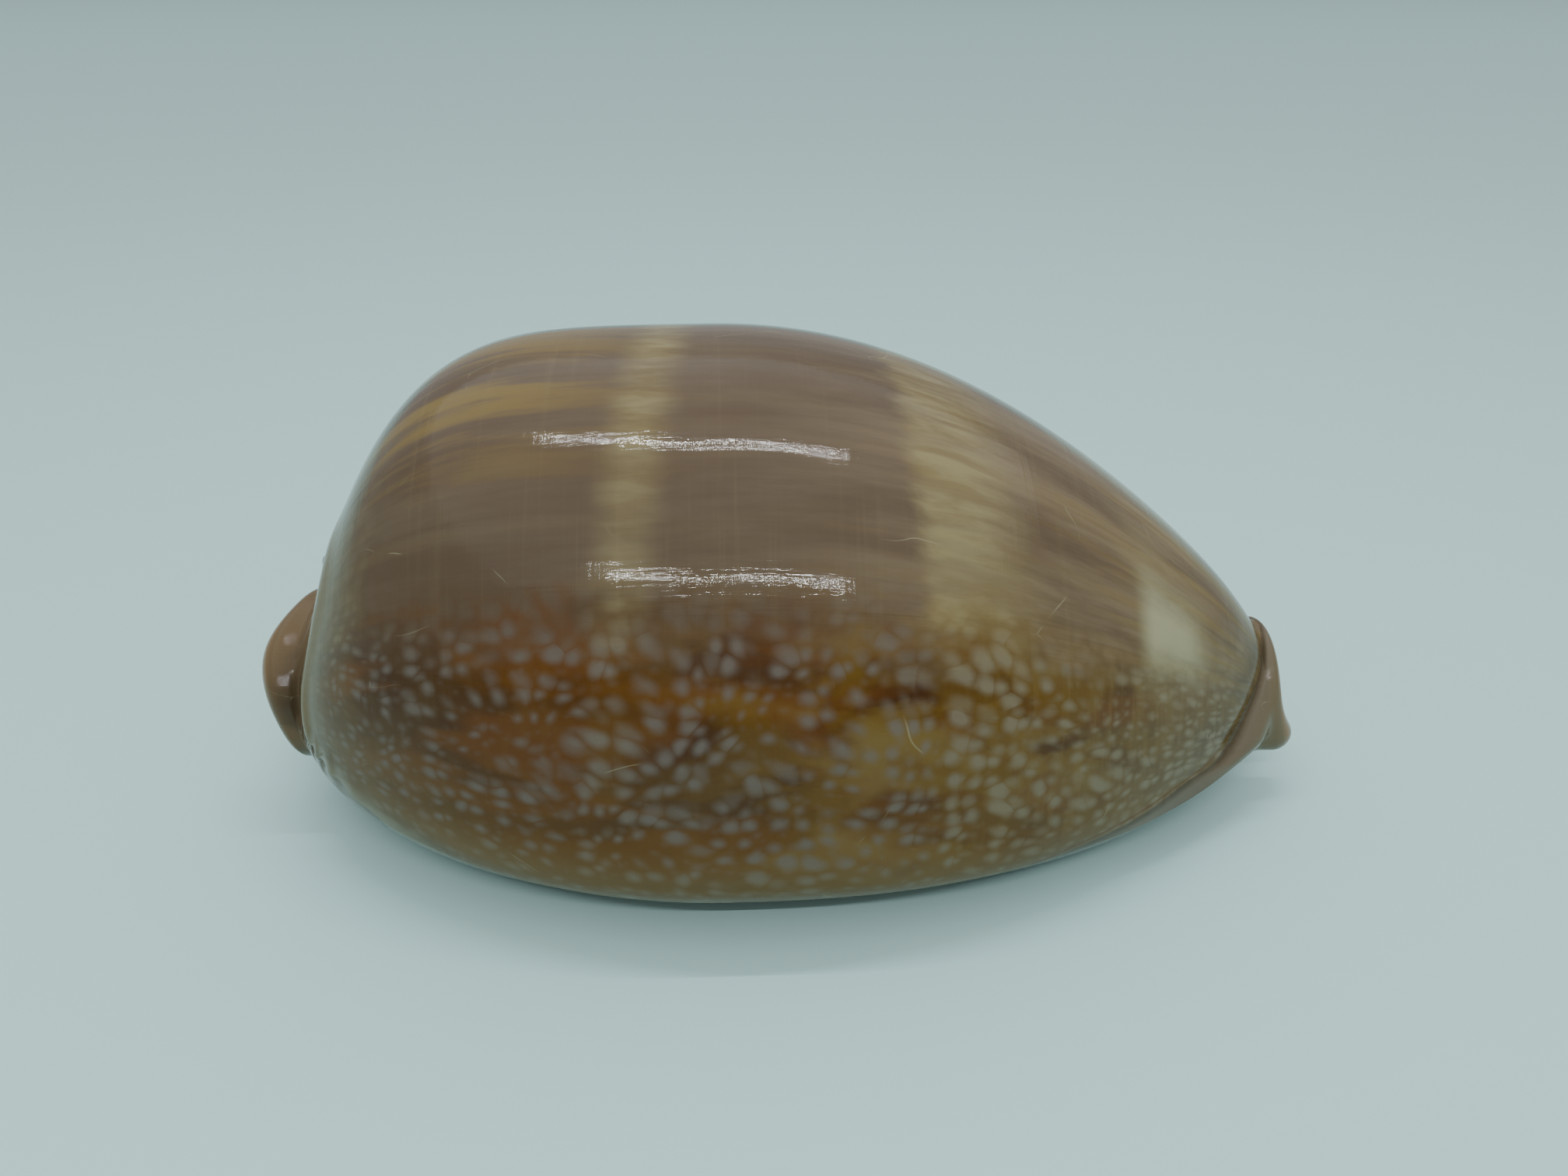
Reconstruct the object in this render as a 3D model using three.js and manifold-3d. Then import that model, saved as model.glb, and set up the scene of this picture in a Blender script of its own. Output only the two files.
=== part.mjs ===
// Atlantic deer cowrie, one empty shell lying on its underside.
// Millimetres, +Z up. +X runs to the narrow front end, -Y to the outer lip's side.
// The wall is one sheet, swept round the body from the outer lip, over the back and down to the
// inner lip, then curled up inside as the last of the inner whorl. Both ends are open canals.
import * as THREE from 'three';
import { ParametricGeometry } from 'three/addons/geometries/ParametricGeometry.js';
import { mergeVertices } from 'three/addons/utils/BufferGeometryUtils.js';
import Module from 'manifold-3d';

// driving dimensions, mm and degrees
const WIDEST_X = -6.1;            // the widest cross-section's place along the shell
const BODY_BACK_X = -48.7;        // where the rounded body turns into the rear canal's collar
const BODY_FRONT_X = 51.9;        // the same at the front canal
const HALF_WIDTH_LIP = 33.9;      // middle to the outer lip's side
const HALF_WIDTH_INNER = 32.4;    // middle to the inner lip's side
const BODY_HEIGHT = 50.0;
const MARGIN_HEIGHT = 12.2;       // the shell is widest this far above its underside
const WIDTH_BACK = [1.73, 1.565];  // outline powers towards the rear end, seen from above
const WIDTH_FRONT = [2.50, 0.910];
const HEIGHT_BACK = [4.46, 0.998]; // outline powers towards the rear end, seen from the side
const HEIGHT_FRONT = [2.00, 1.250];
const SECTION_POWER = [3.3, 2.14]; // roundness of the cross-section, below and above

const COLLAR_SHARE = 0.84;        // share of each half's run that the rounded body takes
const BACK = {                    // the rear canal's collar
  halfLip: 11.3, halfInner: 9.0, height: 16.8, margin: 8.3, base: 5.2, middleY: -1.3, flare: 0.04,
  reach: [2.5, 5.2, 3.2], lipAt: 124, lipSpread: 50, innerAt: 280, innerSpread: 42, slit: 2.8, rise: 3.0,
};
const FRONT = {                   // the front canal's collar
  halfLip: 7.4, halfInner: 8.0, height: 14.0, margin: 3.9, base: 4.1, middleY: -3.6, flare: 0.02,
  reach: [2.4, 4.85, 3.4], lipAt: 61, lipSpread: 46, innerAt: 300, innerSpread: 46, slit: 3.3, rise: 6.0,
};

const SLIT_Y = -5.5;              // the slit's middle line at mid length
const SLIT_HALF = 2.9;
const LIP_ROLL = 3.9;             // radius of the lips' inward roll
const LIP_ROLL_END = 2.9;
const LIP_UPSTAND = 3.0;          // straight run of the outer lip above its roll
const CURL_RADIUS_SHARE = 0.31;   // inner whorl's radius as a share of the half width
const CURL_TURN = 170;            // how far the inner whorl turns, degrees

const WALL_BACK = 2.4;            // wall thickness over the back
const WALL_BASE = 3.9;            // and along the underside and margins
const WALL_CURL = 2.0;            // and in the inner whorl
const CANAL_ROOF = 4.2;           // callus above the canals, which are slits with a round roof

const RIDGE = 0.8;                // ridge along the margin's line at the rear, and the groove past it
const GROOVE = 1.3;
const FRONT_GROOVE = 0.6;         // groove along the margin's line at the front
const SKIRT = 2.3;                // and the callus that bulges past it on the lips
const SPIRE = 2.4;                // what still shows of the early whorls
const REST_FLAT = 0.25;           // depth of the small flats worn at the resting points

const TEETH_LIP = 27;             // teeth along the outer lip
const TEETH_INNER = 25;           // teeth along the inner lip
const TOOTH_HEIGHT = 0.75;
const TOOTH_HALF_WIDTH = 0.95;

// helpers
const clamp01 = (t) => Math.min(Math.max(t, 0), 1);
const smooth = (a, b, x) => { const t = clamp01((x - a) / (b - a)); return t * t * (3 - 2 * t); };
const bell = (x, at, spread) => Math.exp(-(((x - at) / spread) ** 2));
const outline = (xi, powers) => Math.max(1 - xi ** powers[0], 0) ** (1 / powers[1]);
const RAD = Math.PI / 180;

// where each stretch of the sheet starts across the shell, from the outer lip's rim (0) to the
// inner whorl's edge (1): outer lip's roll, outside, inner lip's roll, inner whorl
const ROLL_LIP = 0.05;
const OUTSIDE = 0.14;
const ROLL_INNER = 0.82;
const CURL = 0.90;

// Everything that depends only on the place along the shell; u runs -1 (rear) to 1 (front).
function station(u) {
  const end = u < 0 ? BACK : FRONT;
  const sign = u < 0 ? -1 : 1;
  const run = Math.abs(u);
  const xi = Math.sin(clamp01(run / COLLAR_SHARE) * Math.PI / 2);
  const collar = clamp01((run - 0.68) / 0.32) ** 2;
  const gw = outline(xi, u < 0 ? WIDTH_BACK : WIDTH_FRONT);
  const gh = outline(xi, u < 0 ? HEIGHT_BACK : HEIGHT_FRONT);
  const flare = 1 + end.flare * collar * collar;
  const late = xi ** 8;
  const height = end.height + (BODY_HEIGHT - end.height) * gh;
  const margin = end.margin + (MARGIN_HEIGHT - end.margin) * gh;
  return {
    end, sign, run, xi, collar, gh,
    x: WIDEST_X + ((u < 0 ? BODY_BACK_X : BODY_FRONT_X) - WIDEST_X) * xi,
    halfLip: (end.halfLip + (HALF_WIDTH_LIP - end.halfLip) * gw) * flare,
    halfInner: (end.halfInner + (HALF_WIDTH_INNER - end.halfInner) * gw) * flare,
    above: (height - margin) * flare,
    below: margin,
    base: end.base * xi ** end.rise,
    middleY: end.middleY * (1 - gw),
    powerBelow: 2.3 + (SECTION_POWER[0] - 2.3) * gh,
    powerAbove: 2.0 + (SECTION_POWER[1] - 2.0) * gh,
    slitY: SLIT_Y * (1 - late) + end.middleY * late,
    slit: SLIT_HALF * (1 - late) + end.slit * late,
    roll: LIP_ROLL * (1 - late) + LIP_ROLL_END * late,
    curl: 1 - smooth(0.80, 1, xi),
  };
}

// How far past the margin's line a point lies, in runs; the smooth callus of the ends starts there.
function beyondMargin(st, around) {
  if (st.sign < 0) return st.run - (0.735 - 0.105 * smooth(105, 150, around) - 0.30 * (1 - smooth(74, 92, around)));
  return st.run - (0.617 + 0.00345 * (around - 98) - 0.25 * (1 - smooth(77, 95, around)));
}

// The outside at a polar angle: 0 underneath, 90 at the outer lip's side, 180 on top.
function outside(st, angle) {
  const sn = Math.sin(angle * RAD);
  const cs = Math.cos(angle * RAD);
  const half = sn > 0 ? st.halfLip : st.halfInner;
  const up = smooth(-0.35, 0.6, -cs);
  const n = st.powerBelow + (st.powerAbove - st.powerBelow) * up;
  const tall = cs < 0 ? st.above : st.below;
  let r = (Math.abs(sn / half) ** n + Math.abs(cs / tall) ** n) ** (-1 / n);
  const lip = bell(angle, st.end.lipAt, st.end.lipSpread);
  const inner = bell(angle, st.end.innerAt, st.end.innerSpread);
  const [roof, lipReach, innerReach] = st.end.reach;
  let x = st.x + st.sign * st.collar * (roof + (lipReach - roof) * lip + (innerReach - roof) * inner);
  const around = Math.min(angle, 360 - angle);
  const beyond = beyondMargin(st, around);
  const side = smooth(74, 94, around) * (1 - smooth(158, 178, around));
  if (st.sign > 0) {
    r += side * (SKIRT * bell(beyond, 0.13, 0.09) * bell(around, 78, 34) - FRONT_GROOVE * bell(beyond, 0.015, 0.030));
  } else {
    r += side * (RIDGE * bell(beyond, -0.015, 0.035) - GROOVE * bell(beyond, 0.060, 0.040));
    const spire = bell(angle, 204, 15) * bell(st.run, 0.735, 0.05);
    r += 0.6 * SPIRE * spire;
    x -= 0.7 * SPIRE * spire;
  }
  return [x, st.middleY - r * sn, st.base + st.below - r * cs];
}

// Where a lip's roll leaves the underside: its polar angle, heading and radius.
function lipStart(st, half, side) {
  const lip = (st.slitY - st.middleY) * side + st.slit;
  const from = Math.min(lip + st.roll * 1.12, 0.86 * half);
  const n = st.powerBelow;
  const t = from / half;
  const down = st.below * (1 - t ** n) ** (1 / n);
  const slope = (t ** (n - 1) / half) / ((down / st.below) ** (n - 1) / st.below);
  const heading = -Math.atan(slope);
  return { angle: Math.atan2(from, down) / RAD, heading, radius: (from - lip) / (1 - Math.sin(heading)) };
}

// The sheet's outer face at u along and w across.
function sheet(u, w) {
  const st = station(u);
  const lip = lipStart(st, st.halfLip, -1);
  const inner = lipStart(st, st.halfInner, 1);
  const k = clamp01((w - OUTSIDE) / (ROLL_INNER - OUTSIDE));
  let [x, y, z] = outside(st, lip.angle + (360 - inner.angle - lip.angle) * k);
  z = Math.max(z, REST_FLAT);
  if (w < OUTSIDE) {
    const turn = lip.heading + (Math.PI / 2 - lip.heading) * clamp01((OUTSIDE - w) / (OUTSIDE - ROLL_LIP));
    y += lip.radius * (Math.sin(turn) - Math.sin(lip.heading));
    z += lip.radius * (Math.cos(lip.heading) - Math.cos(turn));
    if (w < ROLL_LIP) z += (1 - w / ROLL_LIP) * LIP_UPSTAND * st.curl;
  }
  if (w > ROLL_INNER) {
    const turn = inner.heading + (Math.PI / 2 - inner.heading) * clamp01((w - ROLL_INNER) / (CURL - ROLL_INNER));
    y -= inner.radius * (Math.sin(turn) - Math.sin(inner.heading));
    z += inner.radius * (Math.cos(inner.heading) - Math.cos(turn));
  }
  if (w > CURL) {
    const rise = 0.3 + 4.7 * st.curl;
    const radius = 1.2 + CURL_RADIUS_SHARE * st.halfInner * st.curl;
    const way = (w - CURL) / (1 - CURL) * (rise + radius * CURL_TURN * RAD * st.curl);
    const swing = Math.max(way - rise, 0) / radius;
    y += radius * (1 - Math.cos(swing));
    z += Math.min(way, rise) + radius * Math.sin(swing);
  }
  return new THREE.Vector3(x, y, z);
}

// Outward direction of the sheet.
function outward(u, w) {
  const du = 1e-3;
  const dw = 5e-4;
  const along = sheet(Math.min(u + du, 1), w).sub(sheet(Math.max(u - du, -1), w));
  const across = sheet(u, Math.min(w + dw, 1)).sub(sheet(u, Math.max(w - dw, 0)));
  return across.cross(along).normalize().negate();
}

const wall = (w) => {
  const low = 1 - smooth(0.16, 0.36, w) * (1 - smooth(0.62, 0.80, w));
  return (WALL_BACK + (WALL_BASE - WALL_BACK) * low) * (1 - smooth(0.86, 0.95, w)) + WALL_CURL * smooth(0.86, 0.95, w);
};
const rounding = (d, r) => Math.sqrt(1 - (1 - Math.min(d / r, 1)) ** 2);

// The canal's own narrow section at the ends: up one side, over its roof and down the other.
function canal(st, x, w) {
  const half = st.slit + 0.5;
  const low = st.base + st.roll + 1.2;
  const roof = st.base + st.below + st.above - CANAL_ROOF;
  const spring = roof - half;
  if (w < 0.3) return new THREE.Vector3(x, st.slitY - half, low + (spring - low) * w / 0.3);
  if (w > 0.7) return new THREE.Vector3(x, st.slitY + half, low + (spring - low) * (1 - w) / 0.3);
  const turn = (w - 0.3) / 0.4 * Math.PI;
  return new THREE.Vector3(x, st.slitY - half * Math.cos(turn), spring + half * Math.sin(turn));
}

// A point of the wall: face 0 outside, 1 inside; both meet in the rounded rims.
function wallPoint(u, w, face) {
  const full = rounding(1 - Math.abs(u), 0.09) * rounding(w, 0.03) * rounding(1 - w, 0.012);
  const st = station(u);
  const out = sheet(u, w);
  const inside = out.clone().addScaledVector(outward(u, w), -wall(w));
  inside.lerp(canal(st, out.x, w), smooth(0.84, 0.985, st.xi));
  return out.lerp(inside, 0.5 * (1 + (face ? full : -full)));
}

// the wall: a grid of stations along by a closed loop across
const piecewise = (stops, steps) => {
  const out = [stops[0]];
  steps.forEach((n, i) => { for (let k = 1; k <= n; k += 1) out.push(stops[i] + (stops[i + 1] - stops[i]) * k / n); });
  return out;
};
const ALONG = piecewise([-1, -0.992, -0.965, -0.93, -0.58, 0, 0.54, 0.93, 0.965, 0.992, 1], [1, 1, 1, 9, 7, 7, 8, 1, 1, 1]);
const ACROSS = piecewise([0, 0.01, ROLL_LIP, OUTSIDE, ROLL_INNER, CURL, 0.99, 1], [1, 1, 4, 18, 4, 5, 1]);
const LOOP = ACROSS.map((w) => [w, 0]).concat(ACROSS.slice(1, -1).reverse().map((w) => [w, 1]));
LOOP.push(LOOP[0]);

const gridWall = new ParametricGeometry((s, t, target) => {
  const u = ALONG[Math.round(t * (ALONG.length - 1))];
  const [w, face] = LOOP[Math.round(s * (LOOP.length - 1))];
  target.copy(wallPoint(u, w, face));
}, LOOP.length - 1, ALONG.length - 1);

// the teeth: rounded ridges that follow each lip over its roll
const stationAtX = (x) => {
  const far = x < WIDEST_X ? BODY_BACK_X : BODY_FRONT_X;
  return Math.asin((x - WIDEST_X) / (far - WIDEST_X)) / (Math.PI / 2) * COLLAR_SHARE * (x < WIDEST_X ? -1 : 1);
};
function tooth(x, w0, w1) {
  const g = new THREE.SphereGeometry(1, 4, 3);
  const p = g.attributes.position;
  for (let i = 0; i < p.count; i += 1) {
    const u = stationAtX(x + TOOTH_HALF_WIDTH * p.getX(i));
    const w = w0 + (w1 - w0) * (p.getY(i) + 1) / 2;
    const q = sheet(u, w).addScaledVector(outward(u, w), TOOTH_HEIGHT * p.getZ(i));
    p.setXYZ(i, q.x, q.y, Math.max(q.z, REST_FLAT)); // worn level with the resting flats
  }
  return g;
}
const row = (count, from, to, w0, w1) => Array.from({ length: count }, (_, i) => {
  const x = from + (to - from) * (i + 0.5) / count;
  return tooth(x, w0, w1);
});
const TEETH = [
  ...row(TEETH_LIP, -45, 48, 0.055, 0.152),
  ...row(TEETH_INNER, -44, 46, 0.802, 0.895),
];

// join the teeth to the wall
const wasm = await Module();
wasm.setup();
function solid(geometry) {
  geometry.deleteAttribute('normal');
  geometry.deleteAttribute('uv');
  const g = mergeVertices(geometry, 1e-4);
  const triVerts = new Uint32Array(g.index.array);
  const body = (tris) => new wasm.Manifold(new wasm.Mesh({
    numProp: 3, vertProperties: new Float32Array(g.attributes.position.array), triVerts: tris }));
  const made = body(triVerts);
  if (made.volume() > 0) return made;
  for (let i = 0; i < triVerts.length; i += 3) [triVerts[i + 1], triVerts[i + 2]] = [triVerts[i + 2], triVerts[i + 1]];
  return body(triVerts);
}
let body = solid(gridWall);
for (const g of TEETH) body = body.add(solid(g));

const mesh = body.getMesh();
const geometry = new THREE.BufferGeometry();
geometry.setAttribute('position', new THREE.BufferAttribute(new Float32Array(mesh.vertProperties), 3));
geometry.setIndex(new THREE.BufferAttribute(new Uint32Array(mesh.triVerts), 1));
geometry.computeBoundingBox();
const box = geometry.boundingBox;
geometry.translate(-(box.min.x + box.max.x) / 2, -(box.min.y + box.max.y) / 2, -box.min.z);
geometry.computeVertexNormals();

const enamel = new THREE.MeshStandardMaterial({ color: 0x8a6a4a, roughness: 0.22, metalness: 0 });
enamel.name = 'enamel';
const shell = new THREE.Mesh(geometry, enamel);
shell.name = 'shell';

const part = new THREE.Group();
part.name = 'atlantic_deer_cowrie';
part.add(shell);
export default part;
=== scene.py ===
"""Atlantic deer cowrie: the dressed shell, lying on its underside on a pale floor."""

import logging
import math
from dataclasses import dataclass, field
from enum import Enum

import bmesh
import bpy
import numpy as np
from mathutils import Matrix, Vector


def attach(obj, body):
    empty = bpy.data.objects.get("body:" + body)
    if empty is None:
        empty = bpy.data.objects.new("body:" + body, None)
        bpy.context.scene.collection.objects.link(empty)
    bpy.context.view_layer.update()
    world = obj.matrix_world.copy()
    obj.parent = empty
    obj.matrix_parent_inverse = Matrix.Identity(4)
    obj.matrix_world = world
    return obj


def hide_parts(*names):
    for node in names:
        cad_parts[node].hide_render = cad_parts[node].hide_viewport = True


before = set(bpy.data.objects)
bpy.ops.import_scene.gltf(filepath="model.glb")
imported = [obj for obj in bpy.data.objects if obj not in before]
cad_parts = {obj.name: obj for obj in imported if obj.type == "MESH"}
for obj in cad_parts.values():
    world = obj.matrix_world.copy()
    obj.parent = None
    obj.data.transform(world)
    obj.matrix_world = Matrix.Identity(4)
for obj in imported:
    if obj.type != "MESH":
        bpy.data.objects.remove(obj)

LOG = logging.getLogger("cowrie")
MM = 0.001
Array = np.ndarray


class Tooth(Enum):
    """Which lip a row of teeth stands on."""

    OUTER_LIP = "outer lip"
    INNER_LIP = "inner lip"


def smooth(low: float, high: float, x: Array) -> Array:
    """Ease from 0 at low to 1 at high."""
    t = np.clip((x - low) / (high - low), 0.0, 1.0)
    return t * t * (3.0 - 2.0 * t)


def bell(x: Array, at: float, spread: float) -> Array:
    """A rounded bump of height 1 at the given place."""
    return np.exp(-(((x - at) / spread) ** 2))


def rounding(distance: Array, reach: float) -> Array:
    """Quarter-circle rise from 0 at an edge to 1 at the given reach."""
    return np.sqrt(1.0 - (1.0 - np.minimum(distance / reach, 1.0)) ** 2)


def piecewise(stops: list[float], steps: list[int]) -> Array:
    """Evenly divide each stretch between neighbouring stops.

    Args:
        stops: where the stretches meet, in rising order.
        steps: the number of parts of each stretch.

    Returns:
        Every division point once, in order.
    """
    parts = [np.linspace(a, b, n + 1)[:-1] for a, b, n in zip(stops, stops[1:], steps)]
    return np.concatenate([*parts, [stops[-1]]])


@dataclass(frozen=True)
class Canal:
    """One end of the shell, where the slit runs out between two thick lobes. Millimetres and degrees."""

    half_lip: float
    half_inner: float
    height: float
    margin: float
    base: float
    middle_y: float
    flare: float
    reach_roof: float
    reach_lip: float
    reach_inner: float
    lip_at: float
    lip_spread: float
    inner_at: float
    inner_spread: float
    slit: float
    rise: float


@dataclass(frozen=True)
class ShellForm:
    """The grown form: one sheet swept from the outer lip over the back to the curled inner lip.

    Sizes are in millimetres and angles in degrees. A pair gives a place and a spread, or the outline
    powers towards one end. The lines are those of the margin: where the smooth callus of each end starts.
    """

    widest_x: float = -6.1
    body_back_x: float = -48.7
    body_front_x: float = 51.9
    half_width_lip: float = 33.9
    half_width_inner: float = 32.4
    body_height: float = 50.0
    margin_height: float = 12.2
    width_back: tuple[float, float] = (1.73, 1.565)
    width_front: tuple[float, float] = (2.50, 0.910)
    height_back: tuple[float, float] = (4.46, 0.998)
    height_front: tuple[float, float] = (2.00, 1.250)
    power_below: float = 3.3
    power_above: float = 2.14
    collar_share: float = 0.84
    back: Canal = Canal(11.3, 9.0, 16.8, 8.3, 5.2, -1.3, 0.04, 2.5, 5.2, 3.2, 124, 50, 280, 42, 2.8, 3.0)
    front: Canal = Canal(7.4, 8.0, 14.0, 3.9, 4.1, -3.6, 0.02, 2.4, 4.85, 3.4, 61, 46, 300, 46, 3.3, 6.0)
    slit_y: float = -5.5
    slit_half: float = 2.9
    lip_roll: float = 3.9
    lip_roll_end: float = 2.9
    lip_upstand: float = 3.0
    curl_radius_share: float = 0.31
    curl_turn: float = 170.0
    wall_back: float = 2.4
    wall_base: float = 3.9
    wall_curl: float = 2.0
    canal_roof: float = 4.2
    rear_line: float = 0.735
    rear_line_top: float = 0.105
    rear_line_low: float = 0.30
    front_line: float = 0.617
    front_line_lean: float = 0.00345
    front_line_low: float = 0.25
    ridge: float = 0.8
    ridge_at: tuple[float, float] = (-0.015, 0.035)
    groove: float = 1.3
    groove_at: tuple[float, float] = (0.060, 0.040)
    front_groove: float = 0.6
    front_groove_at: tuple[float, float] = (0.015, 0.030)
    skirt: float = 2.3
    skirt_at: tuple[float, float] = (0.13, 0.09)
    skirt_angle: tuple[float, float] = (78, 34)
    spire: float = 2.4
    spire_angle: tuple[float, float] = (204, 15)
    spire_run: tuple[float, float] = (0.735, 0.05)
    rest_flat: float = 0.25
    roll_lip: float = 0.05
    outside_from: float = 0.14
    roll_inner: float = 0.82
    curl_from: float = 0.90

    def station(self, u: Array) -> dict[str, Array]:
        """Everything that depends only on the place along the shell.

        Args:
            u: place along, from -1 at the rear rim to 1 at the front rim.

        Returns:
            The named sizes of the cross-section there.
        """
        rear = u < 0

        def pick(name: str) -> Array:
            """The rear or front canal's value of one field."""
            return np.where(rear, getattr(self.back, name), getattr(self.front, name))

        def outline(back: tuple[float, float], front: tuple[float, float]) -> Array:
            """Share of the full width or height that is left at this place."""
            first = np.where(rear, back[0], front[0])
            second = np.where(rear, back[1], front[1])
            return np.maximum(1.0 - xi**first, 0.0) ** (1.0 / second)

        run = np.abs(u)
        xi = np.sin(np.clip(run / self.collar_share, 0.0, 1.0) * math.pi / 2)
        collar = np.clip((run - 0.68) / 0.32, 0.0, 1.0) ** 2
        gw = outline(self.width_back, self.width_front)
        gh = outline(self.height_back, self.height_front)
        flare = 1.0 + pick("flare") * collar * collar
        late = xi**8
        height = pick("height") + (self.body_height - pick("height")) * gh
        margin = pick("margin") + (self.margin_height - pick("margin")) * gh
        reach = np.where(rear, self.body_back_x, self.body_front_x) - self.widest_x
        return {
            "rear": rear, "sign": np.where(rear, -1.0, 1.0), "run": run, "xi": xi, "collar": collar,
            "x": self.widest_x + reach * xi,
            "half_lip": (pick("half_lip") + (self.half_width_lip - pick("half_lip")) * gw) * flare,
            "half_inner": (pick("half_inner") + (self.half_width_inner - pick("half_inner")) * gw) * flare,
            "above": (height - margin) * flare,
            "below": margin,
            "base": pick("base") * xi ** pick("rise"),
            "middle_y": pick("middle_y") * (1.0 - gw),
            "power_below": 2.3 + (self.power_below - 2.3) * gh,
            "power_above": 2.0 + (self.power_above - 2.0) * gh,
            "slit_y": self.slit_y * (1.0 - late) + pick("middle_y") * late,
            "slit": self.slit_half * (1.0 - late) + pick("slit") * late,
            "roll": self.lip_roll * (1.0 - late) + self.lip_roll_end * late,
            "curl": 1.0 - smooth(0.80, 1.0, xi),
            "lip_at": pick("lip_at"), "lip_spread": pick("lip_spread"),
            "inner_at": pick("inner_at"), "inner_spread": pick("inner_spread"),
            "reach_roof": pick("reach_roof"), "reach_lip": pick("reach_lip"),
            "reach_inner": pick("reach_inner"),
        }

    def outside(self, st: dict[str, Array], angle: Array) -> tuple[Array, Array, Array]:
        """The outer face at a polar angle: 0 underneath, 90 at the outer lip's side, 180 on top.

        Args:
            st: the sizes from station.
            angle: degrees round the cross-section.

        Returns:
            x, y and z in millimetres.
        """
        sn, cs = np.sin(np.radians(angle)), np.cos(np.radians(angle))
        half = np.where(sn > 0, st["half_lip"], st["half_inner"])
        power = st["power_below"] + (st["power_above"] - st["power_below"]) * smooth(-0.35, 0.6, -cs)
        tall = np.where(cs < 0, st["above"], st["below"])
        r = (np.abs(sn / half) ** power + np.abs(cs / tall) ** power) ** (-1.0 / power)
        lip = bell(angle, st["lip_at"], st["lip_spread"])
        inner = bell(angle, st["inner_at"], st["inner_spread"])
        reach = st["reach_roof"] + (st["reach_lip"] - st["reach_roof"]) * lip
        reach = reach + (st["reach_inner"] - st["reach_roof"]) * inner
        x = st["x"] + st["sign"] * st["collar"] * reach
        beyond = self.beyond_margin(st, angle)
        around = np.minimum(angle, 360.0 - angle)
        side = smooth(74, 94, around) * (1.0 - smooth(158, 178, around))
        rear = self.ridge * bell(beyond, *self.ridge_at) - self.groove * bell(beyond, *self.groove_at)
        front = self.skirt * bell(beyond, *self.skirt_at) * bell(around, *self.skirt_angle)
        front = front - self.front_groove * bell(beyond, *self.front_groove_at)
        r = r + side * np.where(st["rear"], rear, front)
        spire = self.spire * bell(angle, *self.spire_angle) * bell(st["run"], *self.spire_run) * st["rear"]
        r = r + 0.6 * spire
        return x - 0.7 * spire, st["middle_y"] - r * sn, st["base"] + st["below"] - r * cs

    def beyond_margin(self, st: dict[str, Array], angle: Array) -> Array:
        """How far past the margin's line a point lies, in runs; the smooth callus starts at that line."""
        around = np.minimum(angle, 360.0 - angle)
        rear = self.rear_line - self.rear_line_top * smooth(105, 150, around)
        rear = rear - self.rear_line_low * (1.0 - smooth(74, 92, around))
        front = self.front_line + self.front_line_lean * (around - 98.0)
        front = front - self.front_line_low * (1.0 - smooth(77, 95, around))
        return st["run"] - np.where(st["rear"], rear, front)

    def lip_start(self, st: dict[str, Array], half: Array, side: int) -> tuple[Array, Array, Array]:
        """Where a lip's roll leaves the underside: its polar angle, heading and radius."""
        lip = (st["slit_y"] - st["middle_y"]) * side + st["slit"]
        start = np.minimum(lip + st["roll"] * 1.12, 0.86 * half)
        n, t = st["power_below"], start / half
        down = st["below"] * (1.0 - t**n) ** (1.0 / n)
        slope = (t ** (n - 1.0) / half) / ((down / st["below"]) ** (n - 1.0) / st["below"])
        heading = -np.arctan(slope)
        return np.degrees(np.arctan2(start, down)), heading, (start - lip) / (1.0 - np.sin(heading))

    def sheet(self, u: Array, w: Array) -> Array:
        """The sheet's outer face at u along and w across, one row of x, y, z per point."""
        u, w = np.broadcast_arrays(u, w)
        st = self.station(u)
        lip_angle, lip_head, lip_r = self.lip_start(st, st["half_lip"], -1)
        in_angle, in_head, in_r = self.lip_start(st, st["half_inner"], 1)
        k = np.clip((w - self.outside_from) / (self.roll_inner - self.outside_from), 0.0, 1.0)
        x, y, z = self.outside(st, lip_angle + (360.0 - in_angle - lip_angle) * k)
        z = np.maximum(z, self.rest_flat)
        share = np.clip((self.outside_from - w) / (self.outside_from - self.roll_lip), 0.0, 1.0)
        turn = lip_head + (math.pi / 2 - lip_head) * share
        y = y + lip_r * (np.sin(turn) - np.sin(lip_head))
        z = z + lip_r * (np.cos(lip_head) - np.cos(turn))
        z = z + np.clip(1.0 - w / self.roll_lip, 0.0, 1.0) * self.lip_upstand * st["curl"]
        share = np.clip((w - self.roll_inner) / (self.curl_from - self.roll_inner), 0.0, 1.0)
        turn = in_head + (math.pi / 2 - in_head) * share
        y = y - in_r * (np.sin(turn) - np.sin(in_head))
        z = z + in_r * (np.cos(in_head) - np.cos(turn))
        rise = 0.3 + 4.7 * st["curl"]
        radius = 1.2 + self.curl_radius_share * st["half_inner"] * st["curl"]
        length = rise + radius * math.radians(self.curl_turn) * st["curl"]
        way = np.clip((w - self.curl_from) / (1.0 - self.curl_from), 0.0, 1.0) * length
        swing = np.maximum(way - rise, 0.0) / radius
        y = y + radius * (1.0 - np.cos(swing))
        z = z + np.minimum(way, rise) + radius * np.sin(swing)
        return np.stack([x, y, z], -1)

    def outward(self, u: Array, w: Array) -> Array:
        """Outward direction of the sheet at each point."""
        du, dw = 1e-3, 5e-4
        along = self.sheet(np.minimum(u + du, 1.0), w) - self.sheet(np.maximum(u - du, -1.0), w)
        across = self.sheet(u, np.minimum(w + dw, 1.0)) - self.sheet(u, np.maximum(w - dw, 0.0))
        normal = np.cross(along, across)
        return normal / np.maximum(np.linalg.norm(normal, axis=-1, keepdims=True), 1e-12)

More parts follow.
